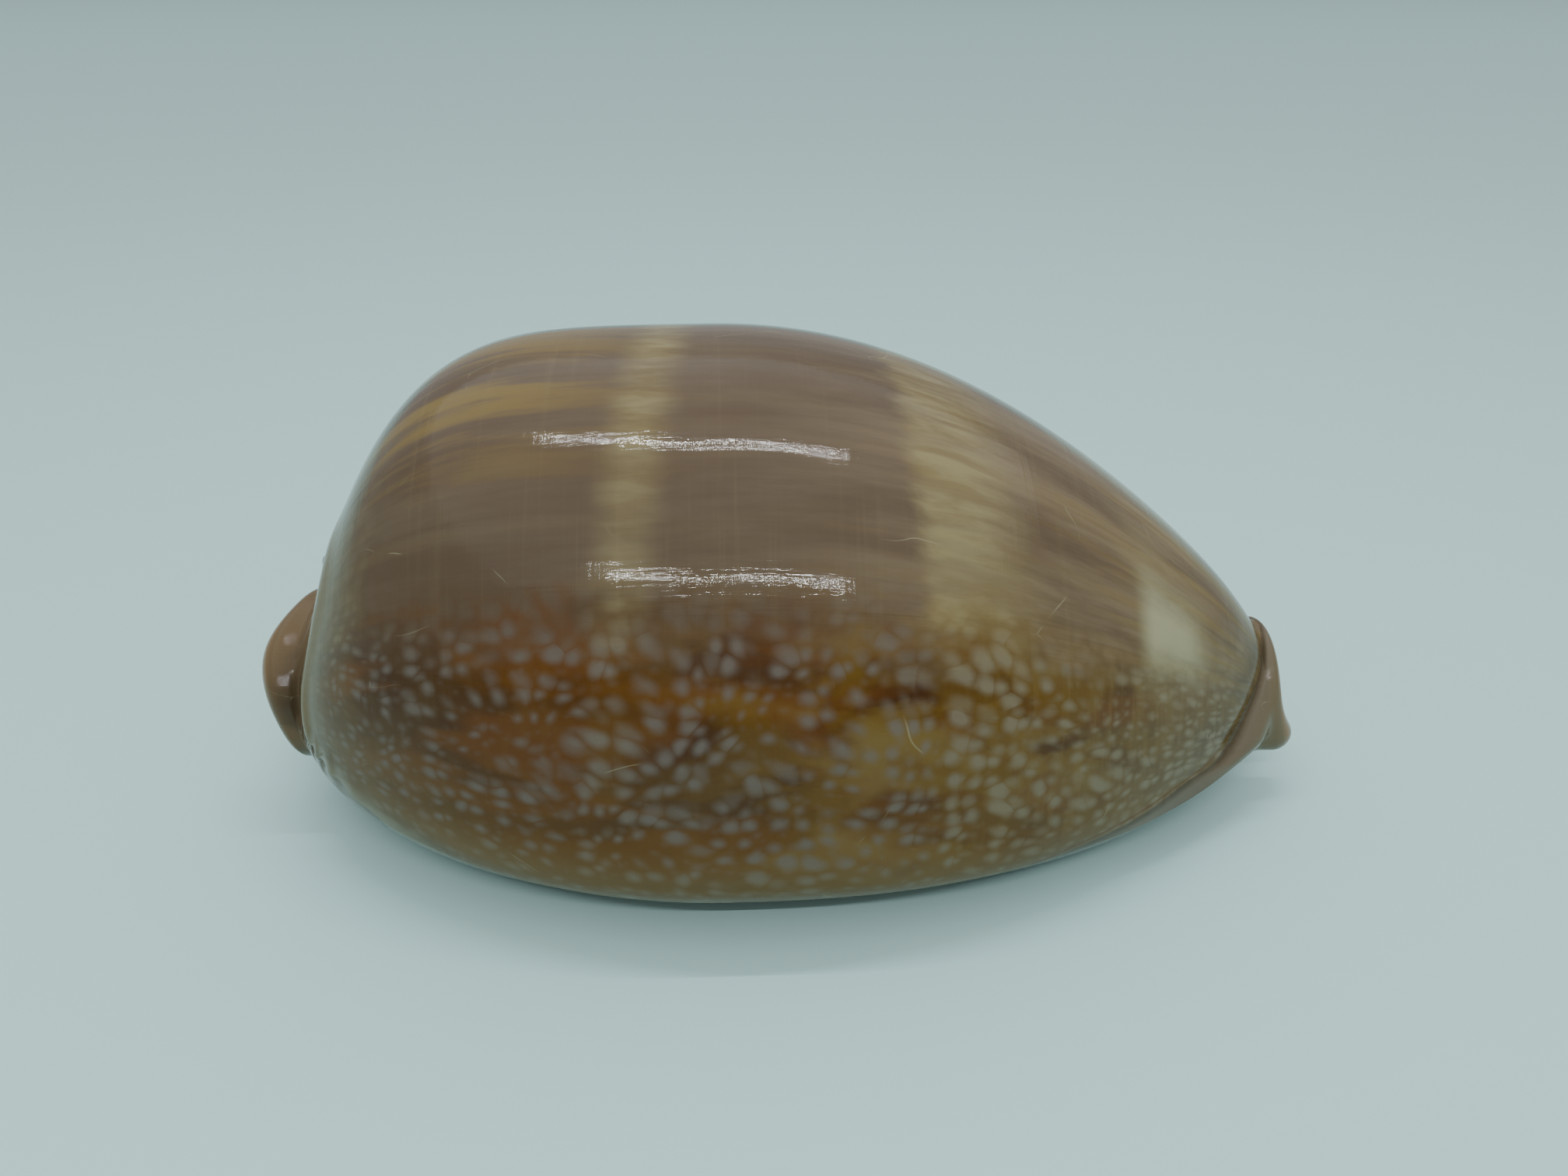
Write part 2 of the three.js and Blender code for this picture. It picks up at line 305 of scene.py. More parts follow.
    def wall(self, w: Array) -> Array:
        """Thickness of the wall across the shell."""
        low = 1.0 - smooth(0.16, 0.36, w) * (1.0 - smooth(0.62, 0.80, w))
        curl = smooth(0.86, 0.95, w)
        grown = self.wall_back + (self.wall_base - self.wall_back) * low
        return grown * (1.0 - curl) + self.wall_curl * curl

    def canal(self, st: dict[str, Array], x: Array, w: Array) -> Array:
        """The canal's own narrow section at the ends: up one side, over its roof and down the other."""
        half = st["slit"] + 0.5
        low = st["base"] + st["roll"] + 1.2
        spring = st["base"] + st["below"] + st["above"] - self.canal_roof - half
        turn = np.clip((w - 0.3) / 0.4, 0.0, 1.0) * math.pi
        up = np.minimum(np.minimum(w, 1.0 - w) / 0.3, 1.0)
        y = st["slit_y"] - half * np.cos(turn)
        z = low + (spring - low) * up + half * np.sin(turn)
        return np.stack([x, y, z], -1)

    def wall_point(self, u: Array, w: Array, face: Array, lift: Array) -> Array:
        """A point of the wall, with the teeth raised on its outer face.

        Args:
            u: place along.
            w: place across.
            face: 0 on the outer face, 1 on the inner face; both meet in the rounded rims.
            lift: how far the outer face is raised there, in millimetres.

        Returns:
            x, y and z in millimetres.
        """
        full = (rounding(1.0 - np.abs(u), 0.09) * rounding(w, 0.03) * rounding(1.0 - w, 0.012))[..., None]
        st = self.station(u)
        out = self.sheet(u, w)
        normal = self.outward(u, w)
        inside = out - normal * self.wall(w)[..., None]
        share = smooth(0.84, 0.985, st["xi"])[..., None]
        inside = inside + (self.canal(st, out[..., 0], w) - inside) * share
        side = np.where(face[..., None] > 0.5, full, -full)
        point = out + (inside - out) * 0.5 * (1.0 + side) + normal * lift[..., None] * full
        point[..., 2] = np.maximum(point[..., 2], self.rest_flat)
        return point


@dataclass(frozen=True)
class ToothRow:
    """A row of rounded ridges across one lip."""

    lip: Tooth
    count: int
    first_x: float
    last_x: float
    w_from: float
    w_to: float
    height: float = 0.75

    def ridges(self, x: Array, w: Array, rng: np.random.Generator) -> tuple[Array, Array]:
        """Height of the ridges, and how much of a gap lies between them.

        Args:
            x: place along the shell in millimetres.
            w: place across.
            rng: gives each tooth its own small difference.

        Returns:
            The lift in millimetres, and the gap from 0 to 1.
        """
        uneven = rng.uniform(0.82, 1.12, self.count + 2)
        place = (x - self.first_x) / (self.last_x - self.first_x) * self.count
        near = np.clip(np.floor(place), -1, self.count).astype(int) + 1
        wave = np.abs(np.sin(math.pi * place)) ** 0.9
        along = smooth(-0.3, 0.4, place) * (1.0 - smooth(self.count - 0.4, self.count + 0.3, place))
        mid = (w - self.w_from) / (self.w_to - self.w_from)
        across = smooth(0.0, 0.22, mid) * (1.0 - smooth(0.62, 1.0, mid))
        if self.lip is Tooth.INNER_LIP:
            across = smooth(0.0, 0.38, mid) * (1.0 - smooth(0.78, 1.0, mid))
        window = along * across
        return self.height * uneven[near] * window * wave, window * (1.0 - wave)


@dataclass
class CowrieShell:
    """The whole shell as one mesh, with the values its colouring follows."""

    form: ShellForm = field(default_factory=ShellForm)
    seed: int = 11
    flank_line: float = 0.36
    rows: tuple[ToothRow, ...] = (
        ToothRow(Tooth.OUTER_LIP, 27, -45.0, 48.0, 0.045, 0.160),
        ToothRow(Tooth.INNER_LIP, 25, -44.0, 46.0, 0.795, 0.905),
    )
    along: Array = field(default_factory=lambda: piecewise(
        [-1.0, -0.992, -0.965, -0.90, -0.70, 0.0, 0.70, 0.90, 0.965, 0.992, 1.0],
        [4, 6, 14, 40, 132, 142, 40, 14, 6, 4]))
    across: Array = field(default_factory=lambda: piecewise(
        [0.0, 0.01, 0.05, 0.14, 0.165, 0.795, 0.82, 0.90, 0.99, 1.0],
        [3, 6, 14, 4, 58, 4, 12, 12, 3]))

    def build(self) -> bpy.types.Object:
        """Make the mesh and its attributes.

        Returns:
            The shell's object, at the origin, in metres.
        """
        form, u_all, w_all = self.form, self.along, self.across
        loop_w = np.concatenate([w_all, w_all[-2:0:-1], w_all[:1]])
        loop_face = np.concatenate([np.zeros(len(w_all)), np.ones(len(w_all) - 2), [0.0]])
        columns, stations = len(loop_w), len(u_all)
        bm = bmesh.new()
        bmesh.ops.create_grid(bm, x_segments=columns - 1, y_segments=stations - 1, size=1.0)
        bm.verts.ensure_lookup_table()
        flat = np.array([v.co[:2] for v in bm.verts])
        col = np.rint((flat[:, 0] + 1.0) / 2.0 * (columns - 1)).astype(int)
        row = np.rint((flat[:, 1] + 1.0) / 2.0 * (stations - 1)).astype(int)
        u, w, face = u_all[row], loop_w[col], loop_face[col]
        x_there = form.station(u)["x"]
        rng = np.random.default_rng(self.seed)
        lift, gap = np.zeros(len(u)), np.zeros(len(u))
        for tooth_row in self.rows:
            up, between = tooth_row.ridges(x_there, w, rng)
            lift, gap = lift + up, gap + between
        points = form.wall_point(u, w, face, np.where(face > 0.5, 0.0, lift))
        angle = self.angle_of(u, w)
        low, high = points.min(0), points.max(0)
        points -= np.array([(low[0] + high[0]) / 2, (low[1] + high[1]) / 2, low[2]])
        points *= MM
        mesh = bpy.data.meshes.new("shell_wall")
        bm.to_mesh(mesh)
        mesh.vertices.foreach_set("co", points.ravel())
        layers = {
            "angle": angle / 360.0, "along": x_there, "way": self.way_along(u_all)[row],
            "gap": gap, "inner_face": face, "across": w, "run": u,
            "beyond": form.beyond_margin(form.station(u), angle),
        }
        for name, values in layers.items():
            mesh.attributes.new(name, "FLOAT", "POINT").data.foreach_set("value", values.astype(np.float32))
        bm.free()
        bm = bmesh.new()
        bm.from_mesh(mesh)
        bmesh.ops.remove_doubles(bm, verts=bm.verts, dist=1e-6)
        bmesh.ops.recalc_face_normals(bm, faces=bm.faces)
        bm.to_mesh(mesh)
        bm.free()
        mesh.shade_smooth()
        shell = bpy.data.objects.new("shell_wall", mesh)
        bpy.context.scene.collection.objects.link(shell)
        return shell

    def way_along(self, u: Array) -> Array:
        """Length of the flank's line from the widest place to each station, in millimetres."""
        line = self.form.sheet(u, np.full_like(u, self.flank_line))
        steps = np.linalg.norm(np.diff(line, axis=0), axis=1)
        way = np.concatenate([[0.0], np.cumsum(steps)])
        return way - np.interp(0.0, u, way)

    def angle_of(self, u: Array, w: Array) -> Array:
        """Polar angle round the cross-section, in degrees, carried on evenly over the lips."""
        st = self.form.station(u)
        lip_angle = self.form.lip_start(st, st["half_lip"], -1)[0]
        in_angle = self.form.lip_start(st, st["half_inner"], 1)[0]
        k = (w - self.form.outside_from) / (self.form.roll_inner - self.form.outside_from)
        return lip_angle + (360.0 - in_angle - lip_angle) * k


class NodeBench:
    """Short ways to lay out a material's nodes."""

    def __init__(self, name: str) -> None:
        """Start an empty material."""
        self.material = bpy.data.materials.new(name)
        self.material.use_nodes = True
        self.tree = self.material.node_tree
        self.tree.nodes.clear()

    def add(self, kind: str, **settings: object) -> bpy.types.Node:
        """Add a node and set its properties."""
        node = self.tree.nodes.new(kind)
        for name, value in settings.items():
            setattr(node, name, value)
        return node

    def feed(self, socket: bpy.types.NodeSocket, value: object) -> None:
        """Link an output to a socket, or set the socket's own value."""
        if isinstance(value, bpy.types.NodeSocket):
            self.tree.links.new(value, socket)
        elif isinstance(value, tuple) and len(value) == 3 and socket.type == "RGBA":
            socket.default_value = (*value, 1.0)
        else:
            socket.default_value = value

    def attribute(self, name: str) -> bpy.types.NodeSocket:
        """One of the mesh's own float attributes."""
        return self.add("ShaderNodeAttribute", attribute_name=name).outputs["Fac"]

    def math(self, operation: str, *values: object) -> bpy.types.NodeSocket:
        """A math node on the given values."""
        node = self.add("ShaderNodeMath", operation=operation)
        for socket, value in zip(node.inputs, values):
            self.feed(socket, value)
        return node.outputs[0]

    def ease(self, value: object, low: float, high: float, to_low: float = 0.0,
             to_high: float = 1.0) -> bpy.types.NodeSocket:
        """Smooth step of a value from one range to another."""
        node = self.add("ShaderNodeMapRange", interpolation_type="SMOOTHSTEP")
        for name, given in (("Value", value), ("From Min", low), ("From Max", high),
                            ("To Min", to_low), ("To Max", to_high)):
            self.feed(node.inputs[name], given)
        return node.outputs["Result"]

    def bump_at(self, value: object, at: object, spread: float) -> bpy.types.NodeSocket:
        """A rounded bump of height 1 where the value equals a place."""
        off = self.math("DIVIDE", self.math("SUBTRACT", value, at), spread)
        return self.math("EXPONENT", self.math("MULTIPLY", self.math("MULTIPLY", off, off), -1.0))

    def vector(self, x: object, y: object, z: object = 0.0) -> bpy.types.NodeSocket:
        """A vector of three values."""
        node = self.add("ShaderNodeCombineXYZ")
        for socket, value in zip(node.inputs, (x, y, z)):
            self.feed(socket, value)
        return node.outputs[0]

    def noise(self, vector: object, scale: float, detail: float = 4.0, rough: float = 0.5,
              twist: float = 0.0) -> bpy.types.NodeSocket:
        """Noise from 0 to 1."""
        node = self.add("ShaderNodeTexNoise")
        for name, value in (("Vector", vector), ("Scale", scale), ("Detail", detail),
                            ("Roughness", rough), ("Distortion", twist)):
            self.feed(node.inputs[name], value)
        return node.outputs["Fac"]

    def mix(self, share: object, first: object, second: object) -> bpy.types.NodeSocket:
        """Blend two colours."""
        node = self.add("ShaderNodeMix", data_type="RGBA")
        self.feed(node.inputs["Factor"], share)
        self.feed(node.inputs[6], first)
        self.feed(node.inputs[7], second)
        return node.outputs[2]

    def object_point(self) -> bpy.types.NodeSocket:
        """The object's own coordinates, in metres."""
        return self.add("ShaderNodeTexCoord").outputs["Object"]


Rgb = tuple[float, float, float]


@dataclass(frozen=True)
class Enamel:
    """The shell's glossy colouring: a grey-mauve back over brown sides with soft pale spots."""

    mauve: Rgb = (0.104, 0.077, 0.050)
    mauve_front: Rgb = (0.165, 0.126, 0.076)
    mauve_dark: Rgb = (0.082, 0.056, 0.034)
    golden: Rgb = (0.180, 0.126, 0.040)
    band: Rgb = (0.235, 0.198, 0.096)
    band_gold: Rgb = (0.140, 0.098, 0.036)
    cream: Rgb = (0.340, 0.340, 0.210)
    chestnut: Rgb = (0.094, 0.032, 0.003)
    umber: Rgb = (0.045, 0.016, 0.003)
    olive: Rgb = (0.112, 0.061, 0.007)
    spot: Rgb = (0.118, 0.102, 0.086)
    spot_front: Rgb = (0.170, 0.150, 0.094)
    margin: Rgb = (0.125, 0.080, 0.026)
    base: Rgb = (0.190, 0.145, 0.085)
    khaki: Rgb = (0.100, 0.073, 0.030)
    # pale ochre of the rear edge; along the ridge's crest it is also a painted highlight
    ridge: Rgb = (0.150, 0.130, 0.070)
    # dark brown of the pattern lines and the rear lobe's middle; also painted shade in the grooves at both
    # ends
    dark_and_furrow_shade: Rgb = (0.058, 0.043, 0.025)
    lobe: Rgb = (0.128, 0.088, 0.044)
    callus: Rgb = (0.135, 0.108, 0.062)
    rim: Rgb = (0.220, 0.135, 0.062)
    spire: Rgb = (0.035, 0.022, 0.028)
    gap: Rgb = (0.050, 0.020, 0.010)
    inside: Rgb = (0.100, 0.042, 0.030)
    girth: float = 240.0
    spot_cell: float = 2.3
    spot_randomness: float = 0.84
    spot_smoothness: float = 0.10
    back_ends: float = 0.141
    first_band: tuple[float, float] = (-13.8, -9.4)
    second_band_rise: tuple[float, float] = (9.8, 12.8)
    second_band_fall: tuple[float, float] = (16.0, 24.0)
    rear_band: tuple[float, float] = (-49.0, -42.0)
    front_band: tuple[float, float] = (33.0, 44.0)
    patch_rise: tuple[float, float] = (33.8, 36.6)
    patch_fall: tuple[float, float] = (40.0, 44.5)
    patch_low: tuple[float, float] = (0.121, 0.026)
    spire_angle: tuple[float, float] = (204.0 / 360.0, 0.03)
    spire_run: tuple[float, float] = (-0.735, 0.035)
    gloss: float = 0.03
    wear: float = 0.05
    specular: float = 0.20
    glow: float = 0.06
    glow_reach: tuple[float, float, float] = (0.003, 0.0015, 0.0008)
    line_strength: float = 0.10
    line_depth: float = 0.0003

    def drawn_out(self, b: NodeBench, place: "Place", along: float, around: float, depth: float,
                  detail: float = 5.0, twist: float = 0.25) -> bpy.types.NodeSocket:
        """Noise that is stretched along or around the shell and closes up towards its ends.

        Args:
            b: the bench the nodes are laid on.
            place: where on the shell a point lies.
            along: waves per millimetre along the shell.
            around: waves per millimetre around it.
            depth: sets this noise apart from another.
            detail: the noise's octaves.
            twist: how much the noise is bent.

        Returns:
            The noise, from 0 to 1.
        """
        flat = b.vector(b.math("MULTIPLY", place.way, along), b.math("MULTIPLY", place.turn, around), depth)
        return b.noise(flat, 1.0, detail, 0.6, twist)

    def spots(self, b: NodeBench, place: "Place", cell: float, small: float, large: float,
              soft: float, grown: object, depth: float) -> bpy.types.NodeSocket:
        """Soft round spots, one to a cell, each of its own size and strength.

        Args:
            b: the bench the nodes are laid on.
            place: where on the shell a point lies.
            cell: the cells' size in millimetres.
            small: the smallest spot's radius as a share of a cell.
            large: how much larger the largest is.
            soft: width of a spot's edge as a share of a cell.
            grown: added to every spot's radius.
            depth: sets this layer of spots apart from another.

        Returns:
            How much of a spot there is, from 0 to 1.
        """
        wander = b.noise(b.vector(place.way, place.turn, depth), 0.11, 1.0)
        sway = b.math("MULTIPLY", b.math("SUBTRACT", wander, 0.5), 4.0)
        spot_place = b.vector(b.math("ADD", b.math("ADD", place.way, sway), depth * 7.0),
                              b.math("SUBTRACT", place.turn, sway))
        cells = b.add("ShaderNodeTexVoronoi", feature="SMOOTH_F1", voronoi_dimensions="2D")
        b.feed(cells.inputs["Vector"], spot_place)
        b.feed(cells.inputs["Scale"], 1.0 / cell)
        b.feed(cells.inputs["Randomness"], self.spot_randomness)
        b.feed(cells.inputs["Smoothness"], self.spot_smoothness)
        shade = b.add("ShaderNodeSeparateColor")
        b.feed(shade.inputs[0], cells.outputs["Color"])
        size = b.math("ADD", b.math("MULTIPLY_ADD", shade.outputs[0], large, small), grown)
        edge = b.math("DIVIDE", b.math("SUBTRACT", size, cells.outputs["Distance"]), soft)
        strength = b.ease(shade.outputs[1], 0.0, 0.7, 0.45, 1.0)
        return b.math("MULTIPLY", b.ease(edge, -0.5, 0.5), strength)

    def stripe(self, b: NodeBench, value: object, span: tuple[float, float],
               soft: float) -> bpy.types.NodeSocket:
        """1 between two places and 0 outside them, with soft edges."""
        low, high = span
        rise = b.ease(value, low - soft, low + soft)
        return b.math("MULTIPLY", rise, b.ease(value, high - soft, high + soft, 1.0, 0.0))

    def cross_bands(self, b: NodeBench, place: "Place") -> bpy.types.NodeSocket:
        """The paler bands across the back, where growth paused; they lean a little down the side."""
        lean = b.math("MULTIPLY", b.math("SUBTRACT", place.angle, 0.49), 20.0)
        ragged = b.math("MULTIPLY", b.math("SUBTRACT", self.drawn_out(b, place, 0.16, 0.30, 4.0), 0.5), 6.0)
        uneven = b.ease(self.drawn_out(b, place, 0.05, 0.24, 14.0), 0.36, 0.60, 0.55, 1.0)
        first = b.math("SUBTRACT", b.math("ADD", place.x, b.math("MULTIPLY", ragged, 0.3)), lean)
        second = b.math("ADD", place.x, b.math("MULTIPLY", ragged, 0.8))
        second = b.math("ADD", second, b.math("MULTIPLY", lean, 0.6))
        sunk = b.ease(place.low, 0.02, 0.12, 0.95, 0.50)
        bands = b.math("MULTIPLY", self.stripe(b, first, self.first_band, 1.9), sunk)
        wide = b.math("MULTIPLY", b.ease(second, *self.second_band_rise),
                      b.ease(second, *self.second_band_fall, 1.0, 0.0))
        bands = b.math("MAXIMUM", bands, b.math("MULTIPLY", wide, 0.9))
        behind = b.math("MULTIPLY", self.stripe(b, second, self.rear_band, 2.0), 0.45)
        ahead = b.math("MULTIPLY", self.stripe(b, second, self.front_band, 3.0), 0.40)
        bands = b.math("MAXIMUM", b.math("MAXIMUM", bands, behind), ahead)
        return b.math("MULTIPLY", bands, uneven)

    def back_colour(self, b: NodeBench, place: "Place", bands: object) -> bpy.types.NodeSocket:
        """The back: mauve with golden lengthwise streaks and cream bands meshed with gold."""
        broad = self.drawn_out(b, place, 0.030, 0.16, 1.0)
        fine = self.drawn_out(b, place, 0.08, 1.1, 2.0)
        mauve = b.mix(b.ease(place.x, -4.0, 22.0), self.mauve, self.mauve_front)
        colour = b.mix(b.ease(broad, 0.34, 0.66), b.mix(0.15, self.mauve_dark, mauve), mauve)
        colour = b.mix(b.math("MULTIPLY", b.ease(fine, 0.42, 0.70), 0.34), colour, self.mauve_dark)
        rear = b.math("MULTIPLY", b.ease(place.x, -4.0, -28.0), b.ease(place.low, 0.12, 0.03))
        where = b.ease(place.x, 18.0, 42.0, 0.10, 0.65)
        where = b.math("MAXIMUM", b.math("MULTIPLY", rear, 0.9), where)
        gold = b.ease(self.drawn_out(b, place, 0.020, 0.22, 3.0), 0.45, 0.62)
        colour = b.mix(b.math("MULTIPLY", gold, where), colour, self.golden)
        mesh = b.ease(self.drawn_out(b, place, 0.12, 0.50, 5.0, 4.0, 0.5), 0.36, 0.66)
        mesh = b.math("MULTIPLY", mesh, b.ease(place.low, 0.02, 0.13, 0.85, 0.45))
        colour = b.mix(bands, colour, b.mix(mesh, self.band, self.band_gold))
        growth = b.ease(self.drawn_out(b, place, 0.9, 0.02, 15.0, 4.0, 0.1), 0.52, 0.72, 0.0, 0.08)
        return b.mix(growth, colour, self.band)

    def side_colour(self, b: NodeBench, place: "Place", bands: object,
                    cloud: object) -> bpy.types.NodeSocket:
        """The sides' ground: chestnut with umber clouds, turning olive under the bands and to the front."""
        colour = b.mix(cloud, self.umber, self.chestnut)
        olive = b.ease(self.drawn_out(b, place, 0.09, 0.12, 7.0, 4.0, 0.5), 0.40, 0.60)
        olive = b.math("MULTIPLY", olive, b.ease(place.x, -22.0, 14.0, 0.15, 0.95))
        olive = b.math("MAXIMUM", olive, b.math("MULTIPLY", bands, 0.75))
        olive = b.math("MAXIMUM", olive, b.ease(place.low, 0.20, 0.26, 0.0, 0.45))
        colour = b.mix(olive, colour, self.olive)
        rear = b.math("MULTIPLY", b.ease(place.x, -24.0, -42.0), b.ease(place.low, 0.15, 0.24))
        colour = b.mix(b.math("MULTIPLY", rear, 0.5), colour, self.khaki)
        gold = b.ease(self.drawn_out(b, place, 0.10, 0.16, 22.0, 2.0, 0.4), 0.42, 0.72)
        gold = b.math("MULTIPLY", gold, b.ease(place.x, -12.0, 6.0, 0.05, 0.48))
        colour = b.mix(gold, colour, self.golden)
        colour = b.mix(b.ease(place.x, 14.0, 40.0, 0.0, 0.45), colour, self.khaki)
        combed = b.ease(self.drawn_out(b, place, 0.75, 0.06, 23.0, 3.0, 0.1), 0.44, 0.66)
        combed = b.math("MULTIPLY", combed, b.ease(place.x, 12.0, 32.0, 0.04, 0.26))
        return b.mix(combed, colour, self.golden)

    def end_colours(self, b: NodeBench, place: "Place", coat: object, dots: object) -> bpy.types.NodeSocket:
        """Both ends: the colours up to the margin's line, painted shade in the grooves there, and the
        smooth lobes with warm rims past it.
        """
        past = place.beyond
        lines = self.drawn_out(b, place, 0.10, 0.45, 8.0)
        blotch = b.noise(b.object_point(), 150.0, 3.0, 0.5)
        above = b.ease(place.low, 0.35, 0.29)
        rear = b.math("MULTIPLY", above, b.ease(place.run, -0.30, -0.36))
        front = b.math("MULTIPLY", above, b.ease(place.run, 0.24, 0.30))
        upper = b.ease(place.low, 0.26, 0.20)
        khaki = b.mix(b.ease(lines, 0.38, 0.62), b.mix(0.45, self.dark_and_furrow_shade, self.khaki), self.khaki)
        khaki = b.mix(b.math("MULTIPLY", dots, 0.35), khaki, self.spot_front)
        coat = b.mix(b.math("MULTIPLY", rear, b.ease(past, -0.26, -0.06, 0.0, 0.8)), coat, khaki)
        # pale band rising to the rear ridge: the edge's own ochre, and a painted highlight along the ridge
        edge = b.math("MULTIPLY", rear, b.ease(past, -0.13, -0.015, 0.0, 0.85))
        coat = b.mix(edge, coat, self.ridge)
        # painted shade: the groove behind the rear ridge is darkened
        coat = b.mix(b.math("MULTIPLY", rear, b.ease(past, 0.012, 0.030)), coat, self.dark_and_furrow_shade)
        dark = b.math("MULTIPLY", b.bump_at(past, 0.14, 0.09), b.bump_at(place.low, 0.21, 0.080))
        dark = b.math("MULTIPLY", dark, b.ease(blotch, 0.36, 0.56, 0.6, 1.0))
        lobe = b.mix(dark, self.lobe, self.dark_and_furrow_shade)
        coat = b.mix(b.math("MULTIPLY", rear, b.ease(past, 0.050, 0.085)), coat, lobe)
        pale_end = b.mix(b.math("MULTIPLY", dots, 0.8), self.khaki, self.spot_front)
        coat = b.mix(b.math("MULTIPLY", front, b.ease(past, -0.30, -0.06, 0.0, 0.40)), coat, pale_end)
        smudge = b.math("MULTIPLY", b.bump_at(past, -0.055, 0.04), b.bump_at(place.low, 0.10, 0.05))
        coat = b.mix(b.math("MULTIPLY", front, b.math("MULTIPLY", smudge, 0.6)), coat, self.dark_and_furrow_shade)
        line = b.math("MULTIPLY", b.bump_at(past, -0.028, 0.008), b.ease(place.low, 0.22, 0.24))
        coat = b.mix(b.math("MULTIPLY", front, b.math("MULTIPLY", line, 0.7)), coat, self.chestnut)
        flare = b.mix(b.ease(blotch, 0.42, 0.75), self.callus, self.lobe)
        flare = b.mix(b.ease(past, 0.05, 0.20), b.mix(0.4, self.callus, self.spot), flare)
        # painted shade: the front groove along the margin's line is darkened
        coat = b.mix(b.math("MULTIPLY", front, b.ease(past, -0.004, 0.012, 0.0, 0.8)), coat, self.dark_and_furrow_shade)
        coat = b.mix(b.math("MULTIPLY", front, b.ease(past, 0.016, 0.065)), coat, flare)
        rim = b.ease(b.math("ABSOLUTE", place.run), 0.945, 0.985, 0.0, 0.8)
        dull = b.math("MULTIPLY", upper, b.ease(blotch, 0.35, 0.6, 0.0, 0.4))
        return b.mix(rim, coat, b.mix(dull, self.rim, self.lobe))

    def scratches(self, b: NodeBench, place: "Place") -> bpy.types.NodeSocket:
        """A few hair-thin scratches in the enamel, from 0 to 1."""
        bend = b.math("SUBTRACT", self.drawn_out(b, place, 0.06, 0.06, 17.0, 2.0), 0.5)
        bend = b.math("MULTIPLY", bend, 9.0)
        lines = b.add("ShaderNodeTexVoronoi", feature="DISTANCE_TO_EDGE", voronoi_dimensions="2D")
        b.feed(lines.inputs["Vector"], b.vector(b.math("ADD", place.way, bend),
                                                b.math("MULTIPLY", b.math("ADD", place.turn, bend), 1.9)))
        b.feed(lines.inputs["Scale"], 0.055)
        b.feed(lines.inputs["Randomness"], 1.0)
        kept = b.ease(self.drawn_out(b, place, 0.09, 0.12, 18.0, 2.0), 0.58, 0.66)
        return b.math("MULTIPLY", b.ease(lines.outputs["Distance"], 0.008, 0.001), kept)

    def colour(self, b: NodeBench, place: "Place") -> bpy.types.NodeSocket:
        """The whole coat's colour."""
        bands = self.cross_bands(b, place)
        ragged = b.math("SUBTRACT", self.drawn_out(b, place, 0.10, 0.16, 9.0), 0.5)
        low = b.math("ADD", place.low, b.math("MULTIPLY", ragged, 0.050))
        fade = b.ease(low, self.back_ends - 0.022, self.back_ends + 0.034)
        cloud = b.ease(self.drawn_out(b, place, 0.045, 0.110, 6.0, 3.0, 0.5), 0.40, 0.60)
        grown = b.ease(low, self.back_ends, self.back_ends + 0.05, 0.08, 0.0)
        region = b.noise(b.vector(place.way, place.turn, 21.0), 0.055, 2.0)
        grown = b.math("ADD", grown, b.ease(region, 0.38, 0.62, -0.10, 0.06))
        grown = b.math("ADD", grown, b.math("MULTIPLY", bands, 0.02))
        main = self.spots(b, place, self.spot_cell, 0.16, 0.20, 0.55, grown, 1.0)
        extra = self.spots(b, place, self.spot_cell * 0.72, 0.04, 0.22, 0.60, grown, 3.0)
        dots = b.math("MINIMUM", b.math("ADD", main, b.math("MULTIPLY", extra, 0.32)), 1.0)
        pale = b.mix(b.ease(place.x, 2.0, 34.0), self.spot, self.spot_front)
        back = self.back_colour(b, place, bands)
        pale = b.mix(b.math("MULTIPLY", bands, 0.25), pale, self.band)
        under = b.mix(b.ease(low, self.back_ends, self.back_ends + 0.03), back, pale)
        ground = b.math("MULTIPLY", fade, b.math("SUBTRACT", 1.0, b.math("MULTIPLY", dots, 0.84)))
        coat = b.mix(ground, under, self.side_colour(b, place, bands, cloud))
        patch_x = b.math("MULTIPLY", b.ease(place.x, *self.patch_rise),
                         b.ease(place.x, *self.patch_fall, 1.0, 0.0))
        pale_patch = b.math("MULTIPLY", patch_x, b.bump_at(low, *self.patch_low))
        coat = b.mix(b.math("MULTIPLY", pale_patch, 0.8), coat, self.cream)
        margin = b.mix(b.math("MULTIPLY", dots, 0.55), self.margin, self.spot_front)
        coat = b.mix(b.ease(place.low, 0.245, 0.275, 0.0, 0.8), coat, margin)
        base = b.mix(b.math("MULTIPLY", dots, 0.15), self.base, self.spot_front)
        coat = b.mix(b.ease(place.low, 0.31, 0.37), coat, base)
        coat = self.end_colours(b, place, coat, dots)
        coat = b.mix(b.math("MULTIPLY", self.scratches(b, place), 0.30), coat, self.cream)
        tip = b.math("MULTIPLY", b.bump_at(place.angle, *self.spire_angle),
                     b.bump_at(place.run, *self.spire_run))
        coat = b.mix(b.ease(tip, 0.12, 0.5), coat, self.spire)
        coat = b.mix(b.math("MULTIPLY", b.attribute("gap"), 0.9), coat, self.gap)
        deep = b.math("MAXIMUM", b.attribute("inner_face"), b.ease(place.across, 0.90, 0.94))
        deep = b.math("MAXIMUM", deep, b.ease(place.across, 0.055, 0.03))
        deep = b.math("MULTIPLY", deep, b.ease(b.math("ABSOLUTE", place.run), 0.99, 0.93))
        return b.mix(deep, coat, self.inside)

